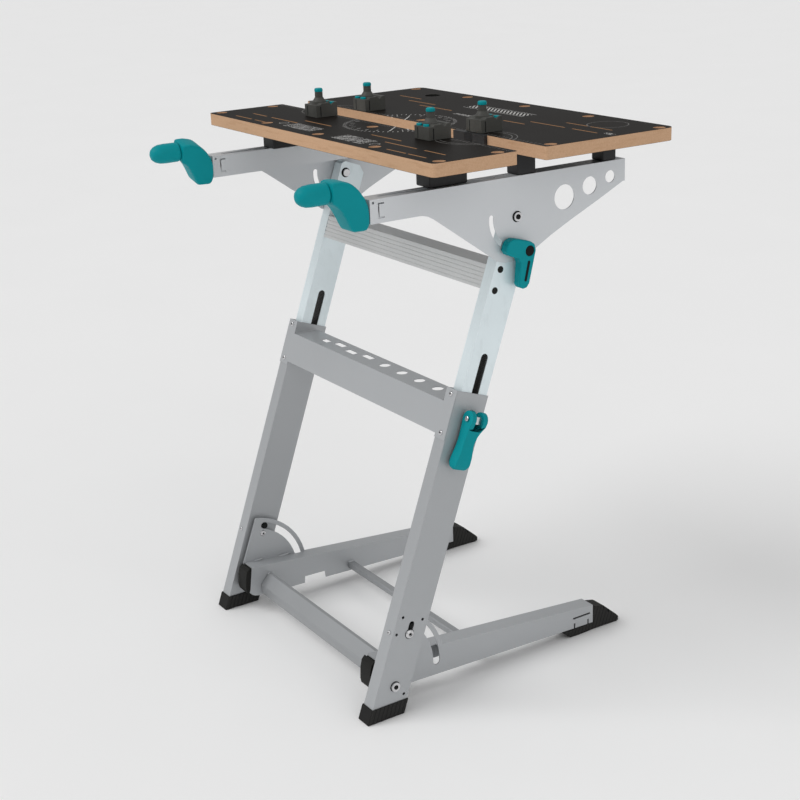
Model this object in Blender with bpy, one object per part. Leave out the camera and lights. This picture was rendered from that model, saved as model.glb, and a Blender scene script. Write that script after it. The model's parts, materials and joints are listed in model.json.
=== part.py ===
"""Folding work platform bench: a clamping table on two telescopic legs over a folding base.

Metres, +Z up, floor at z = 0.  +X runs along the jaws, -Y is the side the user stands on.
The legs lean back; "s" runs up a leg from the floor line and "d" runs from its front to its back.
"""
import math

import bmesh
import bpy
from mathutils import Matrix, Vector

# ---- overall ---------------------------------------------------------------
LEAN = math.radians(19.9)            # legs lean back by this much
SIN_L = math.sin(LEAN)
COS_L = math.cos(LEAN)
MID_Y = 0.24745                      # centre of the bounding box, measured from the front foot line
GAP = 0.0003                         # clearance between separate pieces
SHEET = 0.0018                       # pressed steel sheet
WALL = 0.0015                        # leg tube wall

# ---- legs ------------------------------------------------------------------
LEG_FOOT_Y = 0.0019                  # front face of the leg at the floor
LEG_IN = 0.241                       # inner face of the lower leg, from the middle plane
LEG_OUT = 0.268
LEG_DEEP = 0.062
LEG_TOP_S = 0.564
LEG_CUT_Z = 0.006                    # the tube ends this far above the floor
CAP_TOP_Z = 0.0255
CAP_WALL = 0.002
PIVOT_S = 0.0689                     # fold pivot of the base rails
PIVOT_D = 0.0317
STOP_R = 0.105                       # fold stop pin, from the fold pivot along the leg
STOP_SLOT_HALF = 0.0065
TIE_S = 0.5255                       # height clamp bolt
TIE_D = 0.036
UP_IN = LEG_IN + WALL + 0.0005       # the upper leg slides inside the lower one
UP_OUT = LEG_OUT - WALL - 0.0005
UP_D0 = 0.0095
UP_D1 = LEG_DEEP - WALL - 0.0005
UP_BOTTOM_S = 0.300
UP_TOP_S = 0.868
CAM_X = 0.284                        # pin of the height clamp lever
HEIGHT_DROP = 0.095                  # how far the table can go down from here, along the leg
HEIGHT_RISE = 0.030
SLOT_TOP_S = TIE_S + HEIGHT_DROP + 0.0085
SLOT_LOW_S = TIE_S - HEIGHT_RISE - 0.0085
SLOT_HALF = 0.0066

# ---- table -----------------------------------------------------------------
TABLE_HALF_X = 0.355
TOP_Z = 0.9095
BOARD = 0.0205
JAW_Y0 = 0.101
JAW_Y1 = 0.250
PLATE_Y0 = 0.3025
PLATE_Y1 = 0.5576
HOLE_R = 0.010
HOLE_X = tuple((TABLE_HALF_X - 0.013) * i / 2 for i in (-2, -1, 0, 1, 2))
JAW_ROWS = (0.120, 0.223)
PLATE_ROWS = (0.321, 0.536)
BEAM_IN = 0.240
BEAM_OUT = 0.270
BEAM_TOP = 0.853
BEAM_LOW = 0.816
BEAM_Y0 = 0.046
BEAM_Y1 = 0.530
TILT_S = 0.8485                      # tilt pivot
TILT_D = 0.0222
ARC_R = 0.049                        # tilt lock stud, from the tilt pivot down the leg
ARC_HALF = 0.0044
SPINDLE_X = 0.253
SPINDLE_Z = 0.832
SPINDLE_R = 0.005
SPINDLE_Y1 = 0.285
TOP_SLOT_HALF = 0.0035
TOP_SLOT_Y = (0.070, 0.283)
CARRIAGE_Y = (0.157, 0.226)
NUT_Y = (0.176, 0.206)
INSERT_X = (0.124, 0.208)
CRANK_ARM = 0.037                    # grip axis above the spindle axis
GRIP_R = 0.0162
LEFT_CRANK_TURN = math.radians(14.0)
CRANK_HALF = 0.0195                  # half width of the crank's arm along X
CRANK_SIDE = (                       # crank arm seen from the side, (y, z)
    (0.0155, 0.8095), (0.0405, 0.8085), (0.0452, 0.8180), (0.0456, 0.8310), (0.0444, 0.8440), (0.0385, 0.8580),
    (0.0290, 0.8710), (0.0162, 0.8820), (0.0000, 0.8860), (-0.0158, 0.8860), (-0.0160, 0.8545), (-0.0060, 0.8490),
    (0.0030, 0.8350), (0.0100, 0.8210),
)

# ---- base ------------------------------------------------------------------
RAIL_IN = 0.203
RAIL_OUT = 0.234
RAIL_Y0 = 0.0436
RAIL_Y1 = 0.4993
RAIL_TOP0 = 0.0896                   # top edge of the rail at its front and back ends
RAIL_TOP1 = 0.0503

# ---- tools -----------------------------------------------------------------
CROSS_S = (0.488, 0.541)
SHELF_DEEP = 0.0455
BAR_S = (0.726, 0.765)

MATERIALS = {
    "silver_paint": ((0.50, 0.51, 0.52), 0.3, 0.45),
    "zinc_steel": ((0.66, 0.71, 0.74), 0.9, 0.35),
    "aluminium": ((0.66, 0.67, 0.68), 0.9, 0.35),
    "bright_steel": ((0.62, 0.62, 0.62), 1.0, 0.3),
    "teal_plastic": ((0.0, 0.33, 0.34), 0.0, 0.45),
    "black_rubber": ((0.022, 0.021, 0.02), 0.0, 0.75),
    "dark_plastic": ((0.075, 0.075, 0.07), 0.0, 0.55),
    "filmed_board": ((0.035, 0.032, 0.031), 0.0, 0.35),
}


# ---- helpers ---------------------------------------------------------------
def clear_scene():
    for obj in list(bpy.data.objects):
        bpy.data.objects.remove(obj, do_unlink=True)


def material(slot, kind):
    colour, metal, rough = MATERIALS[kind]
    mat = bpy.data.materials.new(slot)
    mat.use_nodes = True
    shader = mat.node_tree.nodes["Principled BSDF"]
    shader.inputs["Base Color"].default_value = (colour[0], colour[1], colour[2], 1.0)
    shader.inputs["Metallic"].default_value = metal
    shader.inputs["Roughness"].default_value = rough
    return mat


def leg_yz(s, d):
    """Point of the leg's own frame as (y, z)."""
    return (LEG_FOOT_Y + s * SIN_L + d * COS_L, s * COS_L - d * SIN_L)


def leg_at_height(d, z):
    """Point of the line at depth d where it crosses height z, as (y, z)."""
    return leg_yz((z + d * SIN_L) / COS_L, d)


def solid(verts, faces, bevel=0.0, segments=1):
    """Closed mesh object from corner points and faces, optionally with every edge eased."""
    bm = bmesh.new()
    made = [bm.verts.new(v) for v in verts]
    for face in faces:
        bm.faces.new([made[i] for i in face])
    bmesh.ops.recalc_face_normals(bm, faces=bm.faces[:])
    if bevel > 0.0:
        bmesh.ops.bevel(bm, geom=bm.edges[:], offset=bevel, offset_type="OFFSET", segments=segments,
                        profile=0.5, affect="EDGES", clamp_overlap=True, material=-1)
    bmesh.ops.recalc_face_normals(bm, faces=bm.faces[:])
    mesh = bpy.data.meshes.new("work")
    bm.to_mesh(mesh)
    bm.free()
    obj = bpy.data.objects.new("work", mesh)
    bpy.context.scene.collection.objects.link(obj)
    return obj


def sweep(outline, low, high, place, bevel=0.0, segments=1):
    """Prism of a flat outline (u, v) between two depths w, put in the world by place(u, v, w)."""
    count = len(outline)
    verts = [place(u, v, low) for u, v in outline] + [place(u, v, high) for u, v in outline]
    faces = [tuple(range(count)), tuple(range(2 * count - 1, count - 1, -1))]
    for i in range(count):
        j = (i + 1) % count
        faces.append((i, j, count + j, count + i))
    return solid(verts, faces, bevel, segments)


def along_x(side):
    """Outline in (y, z), depth along X, mirrored by side."""
    return lambda u, v, w: Vector((side * w, u, v))


def along_y(side):
    """Outline in (x, z), depth along Y."""
    return lambda u, v, w: Vector((side * u, w, v))


def along_z(side):
    """Outline in (x, y), depth along Z."""
    return lambda u, v, w: Vector((side * u, v, w))


def leg_side(side):
    """Outline in (s, d) of the leg frame, depth along X."""
    return lambda s, d, w: Vector((side * w,) + leg_yz(s, d))


def leg_front(side):
    """Outline in (x, s), depth along d."""
    return lambda x, s, d: Vector((side * x,) + leg_yz(s, d))


def leg_face(side):
    """Outline in (d, s), depth along X."""
    return lambda d, s, w: Vector((side * w,) + leg_yz(s, d))


def rect(u0, u1, v0, v1):
    return [(u0, v0), (u1, v0), (u1, v1), (u0, v1)]


def circle(u, v, r, count=16, turn=0.5):
    step = 2.0 * math.pi / count
    return [(u + r * math.cos((i + turn) * step), v + r * math.sin((i + turn) * step)) for i in range(count)]


def stadium(u0, v0, u1, v1, r, count=7):
    """Rounded slot outline around the segment between two points."""
    base = math.atan2(v1 - v0, u1 - u0)
    points = []
    for cu, cv, start in ((u1, v1, base - math.pi / 2), (u0, v0, base + math.pi / 2)):
        for i in range(count):
            a = start + math.pi * i / (count - 1)
            points.append((cu + r * math.cos(a), cv + r * math.sin(a)))
    return points


def arc_slot(cu, cv, radius, half, start, end, count=14, cap=5):
    """Curved slot outline around a centre, angles in radians."""
    points = []
    for i in range(count):
        a = start + (end - start) * i / (count - 1)
        points.append((cu + (radius + half) * math.cos(a), cv + (radius + half) * math.sin(a)))
    eu, ev = cu + radius * math.cos(end), cv + radius * math.sin(end)
    for i in range(1, cap):
        a = end + math.pi * i / cap
        points.append((eu + half * math.cos(a), ev + half * math.sin(a)))
    for i in range(count):
        a = end + (start - end) * i / (count - 1)
        points.append((cu + (radius - half) * math.cos(a), cv + (radius - half) * math.sin(a)))
    su, sv = cu + radius * math.cos(start), cv + radius * math.sin(start)
    for i in range(1, cap):
        a = start + math.pi + math.pi * i / cap
        points.append((su + half * math.cos(a), sv + half * math.sin(a)))
    return points


def rounded(outline, radius, count=4):
    """Outline with every corner replaced by an arc of about the given radius."""
    points = []
    total = len(outline)
    for i in range(total):
        here = Vector(outline[i])
        before = (Vector(outline[i - 1]) - here).normalized()
        after = (Vector(outline[(i + 1) % total]) - here).normalized()
        half = before.angle(after) / 2.0
        reach = radius / math.tan(half)
        centre = here + (before + after).normalized() * (radius / math.sin(half))
        a = here + before * reach - centre
        b = here + after * reach - centre
        turn = a.angle_signed(b)
        for k in range(count + 1):
            points.append(tuple(centre + Matrix.Rotation(-turn * k / count, 2) @ a))
    return points


def rod(side, x0, x1, y, z, r, count=16):
    """Round bar along X."""
    return sweep(circle(y, z, r, count), x0, x1, along_x(side))


def turned(profile, count, place):
    """Body of revolution: profile of (along, radius) pairs, put in the world by place(a, b, along)."""
    step = 2.0 * math.pi / count
    verts = []
    faces = []
    for along, radius in profile:
        for i in range(count):
            verts.append(place(radius * math.cos((i + 0.5) * step), radius * math.sin((i + 0.5) * step), along))
    rings = len(profile)
    for k in range(rings - 1):
        for i in range(count):
            j = (i + 1) % count
            faces.append((k * count + i, k * count + j, (k + 1) * count + j, (k + 1) * count + i))
    faces.append(tuple(range(count - 1, -1, -1)))
    faces.append(tuple(range((rings - 1) * count, rings * count)))
    return solid(verts, faces)


def combine(base, others, operation):
    """Apply exact booleans one after another and drop the tools."""
    for other in others:
        step = base.modifiers.new("bool", "BOOLEAN")
        step.object = other
        step.operation = operation
        step.solver = "EXACT"
    bpy.context.view_layer.update()
    graph = bpy.context.evaluated_depsgraph_get()
    mesh = bpy.data.meshes.new_from_object(base.evaluated_get(graph))
    base.modifiers.clear()
    base.data = mesh
    for other in others:
        bpy.data.objects.remove(other, do_unlink=True)
    return base


def cut(base, others):
    return combine(base, others, "DIFFERENCE")


def weld(base, others):
    return combine(base, others, "UNION")


def finish(obj, name, kind, origin=(0.0, 0.0, 0.0)):
    """Name the piece, give it its material and put its origin on its joint axis."""
    bm = bmesh.new()
    bm.from_mesh(obj.data)
    bmesh.ops.remove_doubles(bm, verts=bm.verts[:], dist=0.000005)
    bmesh.ops.dissolve_degenerate(bm, dist=0.000005, edges=bm.edges[:])
    bmesh.ops.recalc_face_normals(bm, faces=bm.faces[:])
    bm.to_mesh(obj.data)
    bm.free()
    obj.data.transform(Matrix.Translation(-Vector(origin)))
    obj.location = Vector(origin) - Vector((0.0, MID_Y, 0.0))
    obj.name = name
    obj.data.name = name
    obj.data.materials.clear()
    obj.data.materials.append(material(name, kind))
    return obj


def tag(side):
    return "R" if side > 0 else "L"


# ---- leg frame -------------------------------------------------------------
def lower_leg(side):
    s0 = LEG_CUT_Z / COS_L
    s1 = (LEG_CUT_Z + LEG_DEEP * SIN_L) / COS_L
    outline = [(s0, 0.0), (s1, LEG_DEEP), (LEG_TOP_S, LEG_DEEP), (LEG_TOP_S, 0.0)]
    tube = sweep(outline, LEG_IN, LEG_OUT, leg_side(side))
    inside = sweep(rect(-0.05, 0.70, WALL, LEG_DEEP - WALL), LEG_IN + WALL, LEG_OUT - WALL, leg_side(side))
    stop_s = PIVOT_S + STOP_R
    tools = [
        inside,
        rod(side, 0.230, 0.280, *leg_yz(PIVOT_S, PIVOT_D), 0.004 + GAP),
        rod(side, 0.230, 0.280, *leg_yz(TIE_S, TIE_D), 0.004 + GAP),
        sweep(stadium(stop_s - 0.005, PIVOT_D, stop_s + 0.003, PIVOT_D, 0.0048), 0.230, 0.280, leg_side(side)),
    ]
    for s, d in ((0.1868, 0.0113), (0.1859, 0.0509), (0.1571, 0.0075), (0.0566, 0.0535)):
        tools.append(rod(side, LEG_OUT - 0.006, LEG_OUT + 0.006, *leg_yz(s, d), 0.0026, 10))
    finish(cut(tube, tools), "lower_leg_" + tag(side), "silver_paint")


def leg_foot_cap(side):
    low, high = -CAP_WALL - GAP, LEG_DEEP + CAP_WALL + GAP
    outline = [leg_at_height(low, 0.0), leg_at_height(high, 0.0), leg_at_height(high, CAP_TOP_Z),
               leg_at_height(low, CAP_TOP_Z)]
    body = sweep(outline, LEG_IN - CAP_WALL - GAP, LEG_OUT + CAP_WALL + GAP, along_x(side), 0.0012)
    socket = [leg_at_height(-GAP, LEG_CUT_Z - GAP), leg_at_height(LEG_DEEP + GAP, LEG_CUT_Z - GAP),
              leg_at_height(LEG_DEEP + GAP, 0.06), leg_at_height(-GAP, 0.06)]
    hole = sweep(socket, LEG_IN - GAP, LEG_OUT + GAP, along_x(side))
    finish(cut(body, [hole]), "leg_foot_cap_" + tag(side), "black_rubber")


def tool_crossbar():
    s0, s1 = CROSS_S
    front = [(-LEG_OUT, s0 - 0.006), (-LEG_IN, s0 - 0.006), (-LEG_IN, s0), (LEG_IN, s0), (LEG_IN, s0 - 0.006),
             (LEG_OUT, s0 - 0.006), (LEG_OUT, LEG_TOP_S), (LEG_IN, LEG_TOP_S), (LEG_IN, s1), (-LEG_IN, s1),
             (-LEG_IN, LEG_TOP_S), (-LEG_OUT, LEG_TOP_S)]
    face = sweep(front, -GAP - WALL, -GAP, leg_front(1))
    edge_y, edge_z = leg_yz(s1, -GAP - WALL)
    half = LEG_IN - 0.004
    shelf = sweep(rect(-half, half, edge_y + 0.0006, edge_y + SHELF_DEEP), edge_z - WALL, edge_z, along_z(1))
    body = weld(face, [shelf])
    tools = []
    for x, y, long in ((-0.164, 0.2075, 0.021), (-0.125, 0.2145, 0.030), (-0.076, 0.2070, 0.030),
                       (-0.032, 0.2145, 0.030)):
        tools.append(sweep(rect(x - long / 2, x + long / 2, y - 0.0060, y + 0.0060), 0.48, 0.54, along_z(1)))
    for i in range(4):
        tools.append(sweep(circle(0.0265 + i * 0.053, 0.2115, 0.0098, 16), 0.48, 0.54, along_z(1)))
    finish(cut(body, tools), "tool_crossbar", "silver_paint")


def height_clamp(side):
    name = tag(side)
    ty, tz = leg_yz(TIE_S, TIE_D)
    bolt = rod(side, 0.2355, 0.282, ty, tz, 0.004)
    head = sweep(circle(ty, tz, 0.0075, 6), 0.2355, LEG_IN - GAP, along_x(side))
    washer = rod(side, LEG_OUT + GAP, LEG_OUT + 0.002, ty, tz, 0.0125, 20)
    eye = sweep(rect(0.2785, 0.2905, TIE_S - 0.006, TIE_S + 0.006), TIE_D - 0.0068, TIE_D + 0.0068,
                leg_front(side))
    body = weld(bolt, [head, washer, eye])
    bore = sweep(circle(CAM_X, TIE_S, 0.0026 + GAP, 12), TIE_D - 0.03, TIE_D + 0.03, leg_front(side))
    finish(cut(body, [bore]), "height_tie_bolt_" + name, "bright_steel")
    pin = sweep(circle(CAM_X, TIE_S, 0.0026, 12), TIE_D - 0.0165, TIE_D + 0.0165, leg_front(side))
    finish(pin, "cam_pin_" + name, "bright_steel")

    edge = [(CAM_X + 0.0133 * math.cos(a), TIE_S + 0.0133 * math.sin(a))
            for a in [math.radians(-20 + 20 * i) for i in range(11)]]
    edge += [(0.2723, TIE_S - 0.012), (0.2723, 0.505), (0.2735, 0.480), (0.2728, 0.452), (0.2745, 0.445),
             (0.279, 0.4415), (0.286, 0.4425), (0.2915, 0.450), (0.293, 0.465), (0.2905, 0.490), (0.2925, 0.508)]
    lever = sweep(edge, TIE_D - 0.030, TIE_D + 0.020, leg_front(side))
    front = [(0.0205, 0.545), (0.0205, 0.510), (0.0210, 0.496), (0.0190, 0.478), (0.0160, 0.462),
             (0.0150, 0.452), (0.0170, 0.4445), (0.0225, 0.440), (0.0360, 0.440), (0.0415, 0.4445),
             (0.0435, 0.453), (0.0425, 0.466), (0.0415, 0.484), (0.0440, 0.500), (0.0515, 0.517), (0.0515, 0.545)]
    mask = sweep(front, 0.25, 0.32, leg_face(side))
    lever = combine(lever, [mask], "INTERSECT")
    fork = sweep(rect(0.25, 0.32, 0.5085, 0.56), TIE_D - 0.0072, TIE_D + 0.0072, leg_front(side))
    bore = sweep(circle(CAM_X, TIE_S, 0.0026 + GAP, 12), TIE_D - 0.03, TIE_D + 0.03, leg_front(side))
    hollow = sweep(rect(0.2640, 0.2762, 0.455, 0.500), TIE_D - 0.0125, TIE_D + 0.0035, leg_front(side))
    lever = cut(lever, [fork, bore, hollow])
    finish(lever, "cam_lever_" + name, "teal_plastic", (side * CAM_X, ty, tz))


def fold_hardware(side):
    name = tag(side)
    py, pz = leg_yz(PIVOT_S, PIVOT_D)
    bolt = rod(side, 0.2265, 0.270, py, pz, 0.004)
    head = rod(side, LEG_OUT + GAP, LEG_OUT + 0.0038, py, pz, 0.008, 20)
    nut = sweep(circle(py, pz, 0.0072, 6), 0.2265, RAIL_OUT - SHEET - GAP, along_x(side))
    spacer = rod(side, RAIL_OUT + GAP, LEG_IN - GAP, py, pz, 0.0095, 20)
    finish(weld(bolt, [head, nut, spacer]), "fold_pivot_bolt_" + name, "bright_steel")
    sy, sz = leg_yz(PIVOT_S + STOP_R, PIVOT_D)
    pin = rod(side, 0.2285, LEG_OUT + 0.0012, sy, sz, 0.0044)
    roller = rod(side, RAIL_OUT - SHEET - 0.0006, LEG_IN - GAP, sy, sz, STOP_SLOT_HALF - 0.0004, 20)
    finish(weld(pin, [roller]), "fold_stop_pin_" + name, "bright_steel")


# ---- base frame ------------------------------------------------------------
def rail_top(y):
    return RAIL_TOP0 + (RAIL_TOP1 - RAIL_TOP0) * (y - RAIL_Y0) / (RAIL_Y1 - RAIL_Y0)


def base_rail(side):
    py, pz = leg_yz(PIVOT_S, PIVOT_D)
    nose = [(py + 0.024 * math.cos(a), pz + 0.024 * math.sin(a))
            for a in [math.radians(-78 - 17 * i) for i in range(5)]]
    low = [(RAIL_Y1, 0.0160), (0.420, 0.0178), (0.292, 0.0225), (0.187, 0.0255), (0.108, 0.0275)]
    outline = [(RAIL_Y0 - 0.0062, 0.0460), (RAIL_Y0, RAIL_TOP0), (RAIL_Y1, RAIL_TOP1)] + low + nose
    body = sweep(outline, RAIL_IN, RAIL_OUT, along_x(side))
    inner = [(0.0, rail_top(0.0) - SHEET), (0.0, -0.02), (0.60, -0.02), (0.60, rail_top(0.60) - SHEET)]
    inside = sweep(inner, RAIL_IN + SHEET, RAIL_OUT - SHEET, along_x(side))
    body = cut(body, [inside])
    big = 0.1195
    plate = [(0.0405, 0.088)]
    for i in range(13):
        a = math.radians(81.5 - 6.2 * i)
        plate.append((py + big * math.cos(a), pz + big * math.sin(a)))
    plate += [(0.171, 0.060), (0.060, 0.060)]
    ear = sweep(plate, RAIL_OUT - SHEET, RAIL_OUT, along_x(side))
    body = weld(body, [ear])
    leg_dir = math.pi / 2 - LEAN
    tools = [
        rod(side, 0.220, 0.250, py, pz, 0.004 + GAP),
        sweep(arc_slot(py, pz, STOP_R, STOP_SLOT_HALF, leg_dir - math.radians(72.0), leg_dir + 0.012),
              RAIL_OUT - 0.006, RAIL_OUT + 0.006, along_x(side)),
        sweep([(0.1500, -0.01), (0.1545, 0.0395), (0.1985, 0.0385), (0.203, -0.01)], RAIL_IN - 0.005,
              RAIL_IN + 0.006, along_x(side)),
    ]
    for y0, y1, z0, z1 in ((0.4540, 0.4930, 0.0345, 0.0378), (0.4560, 0.4592, 0.0100, 0.0265),
                           (0.4870, 0.4902, 0.0100, 0.0255)):
        tools.append(sweep(rect(y0, y1, z0, z1), RAIL_OUT - 0.005, RAIL_OUT + 0.005, along_x(side)))
    finish(cut(body, tools), "base_rail_" + tag(side), "silver_paint", (side * 0.2185, py, pz))


def rail_end_plug(side):
    top = rail_top(0.0505) - SHEET - GAP
    outline = [(RAIL_Y0 - 0.0070, 0.0430), (RAIL_Y0 - 0.0075, 0.0470), (RAIL_Y0 - 0.0030, top),
               (RAIL_Y0 + 0.0034, top), (RAIL_Y0 + 0.0034, 0.0385), (RAIL_Y0 - 0.0040, 0.0385)]
    tongue = sweep(outline, RAIL_IN + SHEET + GAP, RAIL_OUT - SHEET - GAP, along_x(side))
    face = [(RAIL_Y0 - 0.0088, 0.0400), (RAIL_Y0 - 0.0136, 0.0415), (RAIL_Y0 - 0.0151, 0.0500),
            (RAIL_Y0 - 0.0138, 0.0700), (RAIL_Y0 - 0.0106, 0.0835), (RAIL_Y0 - 0.0052, RAIL_TOP0 - 0.0008),
            (RAIL_Y0 - 0.0037, RAIL_TOP0 - 0.0008), (RAIL_Y0 - 0.0067, 0.0460)]
    cap = sweep(face, RAIL_IN, RAIL_OUT, along_x(side))
    finish(weld(cap, [tongue]), "rail_end_plug_" + tag(side), "black_rubber")


def rear_foot(side):
    outline = [(0.4310, 0.0150), (0.4480, 0.0006), (0.4700, 0.0), (0.4930, 0.0008), (0.5000, 0.0014),
               (0.5560, 0.0), (0.5600, 0.0022), (0.5605, 0.0090), (0.5540, 0.0155), (0.5250, 0.0410),
               (0.5060, 0.0455), (RAIL_Y1 + GAP, 0.0462), (RAIL_Y1 + GAP, 0.0150)]
    body = sweep(outline, RAIL_IN, RAIL_OUT, along_x(side), 0.001)
    lug = [(0.4400, 0.0090), (0.4400, 0.0380), (0.5030, rail_top(0.5030) - SHEET - 0.0012), (0.5030, 0.0090)]
    inner = sweep(lug, RAIL_IN + SHEET + GAP, RAIL_OUT - SHEET - GAP, along_x(side))
    clear = sweep([(0.40, 0.0157), (RAIL_Y1 + GAP, 0.0157), (RAIL_Y1 + GAP, 0.06), (0.40, 0.06)],
                  RAIL_IN - 0.01, RAIL_OUT + 0.01, along_x(side))
    body = weld(cut(body, [clear]), [inner])
    ribs = []
    for i in range(3):
        y = 0.5135 + i * 0.0105
        z = 0.0440 - i * 0.0095
        ribs.append(sweep(rect(y, y + 0.0026, z, z + 0.02), RAIL_IN - 0.01, RAIL_OUT + 0.01, along_x(side)))
    finish(cut(body, ribs), "rear_foot_" + tag(side), "black_rubber")


def cross_members():
    half = RAIL_IN - GAP
    profile = [(0.0600, 0.0330), (0.0600, 0.0512), (0.0768, 0.0705), (0.0830, 0.0705), (0.0830, 0.0380),
               (0.0812, 0.0380), (0.0812, 0.0687), (0.0776, 0.0687), (0.0618, 0.0505), (0.0618, 0.0330)]
    finish(sweep(profile, -half, half, along_x(1)), "front_cross_member", "silver_paint")
    tube = sweep(rect(0.250, 0.264, 0.0300, 0.0420), -half, half, along_x(1), 0.0012)
    bore = sweep(rect(0.2516, 0.2624, 0.0316, 0.0404), -0.5, 0.5, along_x(1))
    finish(cut(tube, [bore]), "rear_cross_tube", "silver_paint")


# ---- height frame ----------------------------------------------------------
def upper_leg(side):
    outline = [(UP_BOTTOM_S, UP_D0), (UP_BOTTOM_S, UP_D1), (UP_TOP_S - 0.012, UP_D1), (UP_TOP_S, UP_D1 - 0.012),
               (UP_TOP_S, UP_D0 + 0.006), (UP_TOP_S - 0.006, UP_D0)]
    tube = sweep(outline, UP_IN, UP_OUT, leg_side(side))
    inside = sweep(rect(0.1, 1.0, UP_D0 + WALL, UP_D1 - WALL), UP_IN + WALL, UP_OUT - WALL, leg_side(side))
    tools = [
        inside,
        rod(side, 0.20, 0.30, *leg_yz(TILT_S, TILT_D), 0.004 + GAP),
        rod(side, 0.20, 0.30, *leg_yz(TILT_S - ARC_R, TILT_D), 0.004 + GAP),
        sweep(stadium(SLOT_LOW_S + SLOT_HALF, TIE_D, SLOT_TOP_S - SLOT_HALF, TIE_D, SLOT_HALF + 0.0003), 0.20, 0.30,
              leg_side(side)),
    ]
    finish(cut(tube, tools), "upper_leg_" + tag(side), "zinc_steel")


def slot_liner(side):
    body = sweep(rect(SLOT_LOW_S - 0.012, SLOT_TOP_S + 0.008, TIE_D - 0.0085, TIE_D + 0.0085),
                 UP_IN + WALL + GAP, UP_OUT - WALL - GAP, leg_side(side))
    slot = sweep(stadium(SLOT_LOW_S + 0.005, TIE_D, SLOT_TOP_S - 0.005, TIE_D, 0.0046), 0.20, 0.30, leg_side(side))
    finish(cut(body, [slot]), "slot_liner_" + tag(side), "dark_plastic")


def upper_crossbar():
    s0, s1 = BAR_S
    half = UP_IN - GAP
    outer = [(s0, UP_D0 + 0.0002), (s1, UP_D0 + 0.0002), (s1 + 0.0118, 0.0420), (s0 + 0.0118, 0.0420)]
    bar = sweep(outer, -half, half, leg_side(1))
    inner = [(s0 + 0.0030, 0.0135), (s1 - 0.0016, 0.0135), (s1 + 0.0083, 0.0396), (s0 + 0.0128, 0.0396)]
    tools = [sweep(inner, -0.5, 0.5, leg_side(1))]
    for i in range(5):
        s = s0 + 0.0050 + i * 0.0066
        tools.append(sweep(rect(s, s + 0.0022, 0.0, UP_D0 + 0.0014), -0.5, 0.5, leg_side(1)))
    finish(cut(bar, tools), "upper_crossbar", "aluminium")


def tilt_hardware(side):
    name = tag(side)
    py, pz = leg_yz(TILT_S, TILT_D)
    sy, sz = leg_yz(TILT_S - ARC_R, TILT_D)
    bolt = rod(side, 0.2385, 0.272, py, pz, 0.004)
    head = rod(side, BEAM_OUT + GAP, BEAM_OUT + 0.0035, py, pz, 0.0072, 20)
    nut = rod(side, 0.2385, UP_IN - GAP, py, pz, 0.0068, 20)
    finish(weld(bolt, [head, nut]), "tilt_pivot_bolt_" + name, "bright_steel")
    stud = rod(side, 0.2385, 0.2850, sy, sz, 0.004)
    nut = rod(side, 0.2385, UP_IN - GAP, sy, sz, 0.0068, 6)
    spacer = rod(side, UP_OUT + GAP, BEAM_OUT - SHEET - GAP, sy, sz, 0.0068, 16)
    washer = rod(side, BEAM_OUT + GAP, BEAM_OUT + 0.0017, sy, sz, 0.0095, 20)
    finish(weld(stud, [nut, spacer, washer]), "tilt_lock_stud_" + name, "bright_steel")
    shape = [(-0.0165, 0.0), (-0.0145, 0.0085), (-0.008, 0.0140), (0.002, 0.0160), (0.026, 0.0175),
             (0.0350, 0.0150), (0.0405, 0.0070), (0.0452, -0.0460), (0.0425, -0.0535), (0.0370, -0.0568),
             (0.0312, -0.0565), (0.0262, -0.0520), (0.0250, -0.0450), (0.0180, -0.0190), (0.0115, -0.0125),
             (0.0020, -0.0130), (-0.0100, -0.0120), (-0.0155, -0.0075)]
    outline = [(TILT_D + u, TILT_S - ARC_R + v) for u, v in shape]
    lever = sweep(outline, BEAM_OUT + 0.0020, BEAM_OUT + 0.0175, leg_face(side), 0.0012)
    bore = rod(side, 0.26, 0.2854, sy, sz, 0.004 + GAP)
    recess = rod(side, BEAM_OUT + 0.0145, 0.30, *leg_yz(TILT_S - ARC_R + 0.003, TILT_D + 0.0290), 0.0085, 20)
    lever = cut(lever, [bore, recess])
    finish(lever, "tilt_lever_" + name, "teal_plastic", (side * (BEAM_OUT + 0.01), sy, sz))


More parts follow.
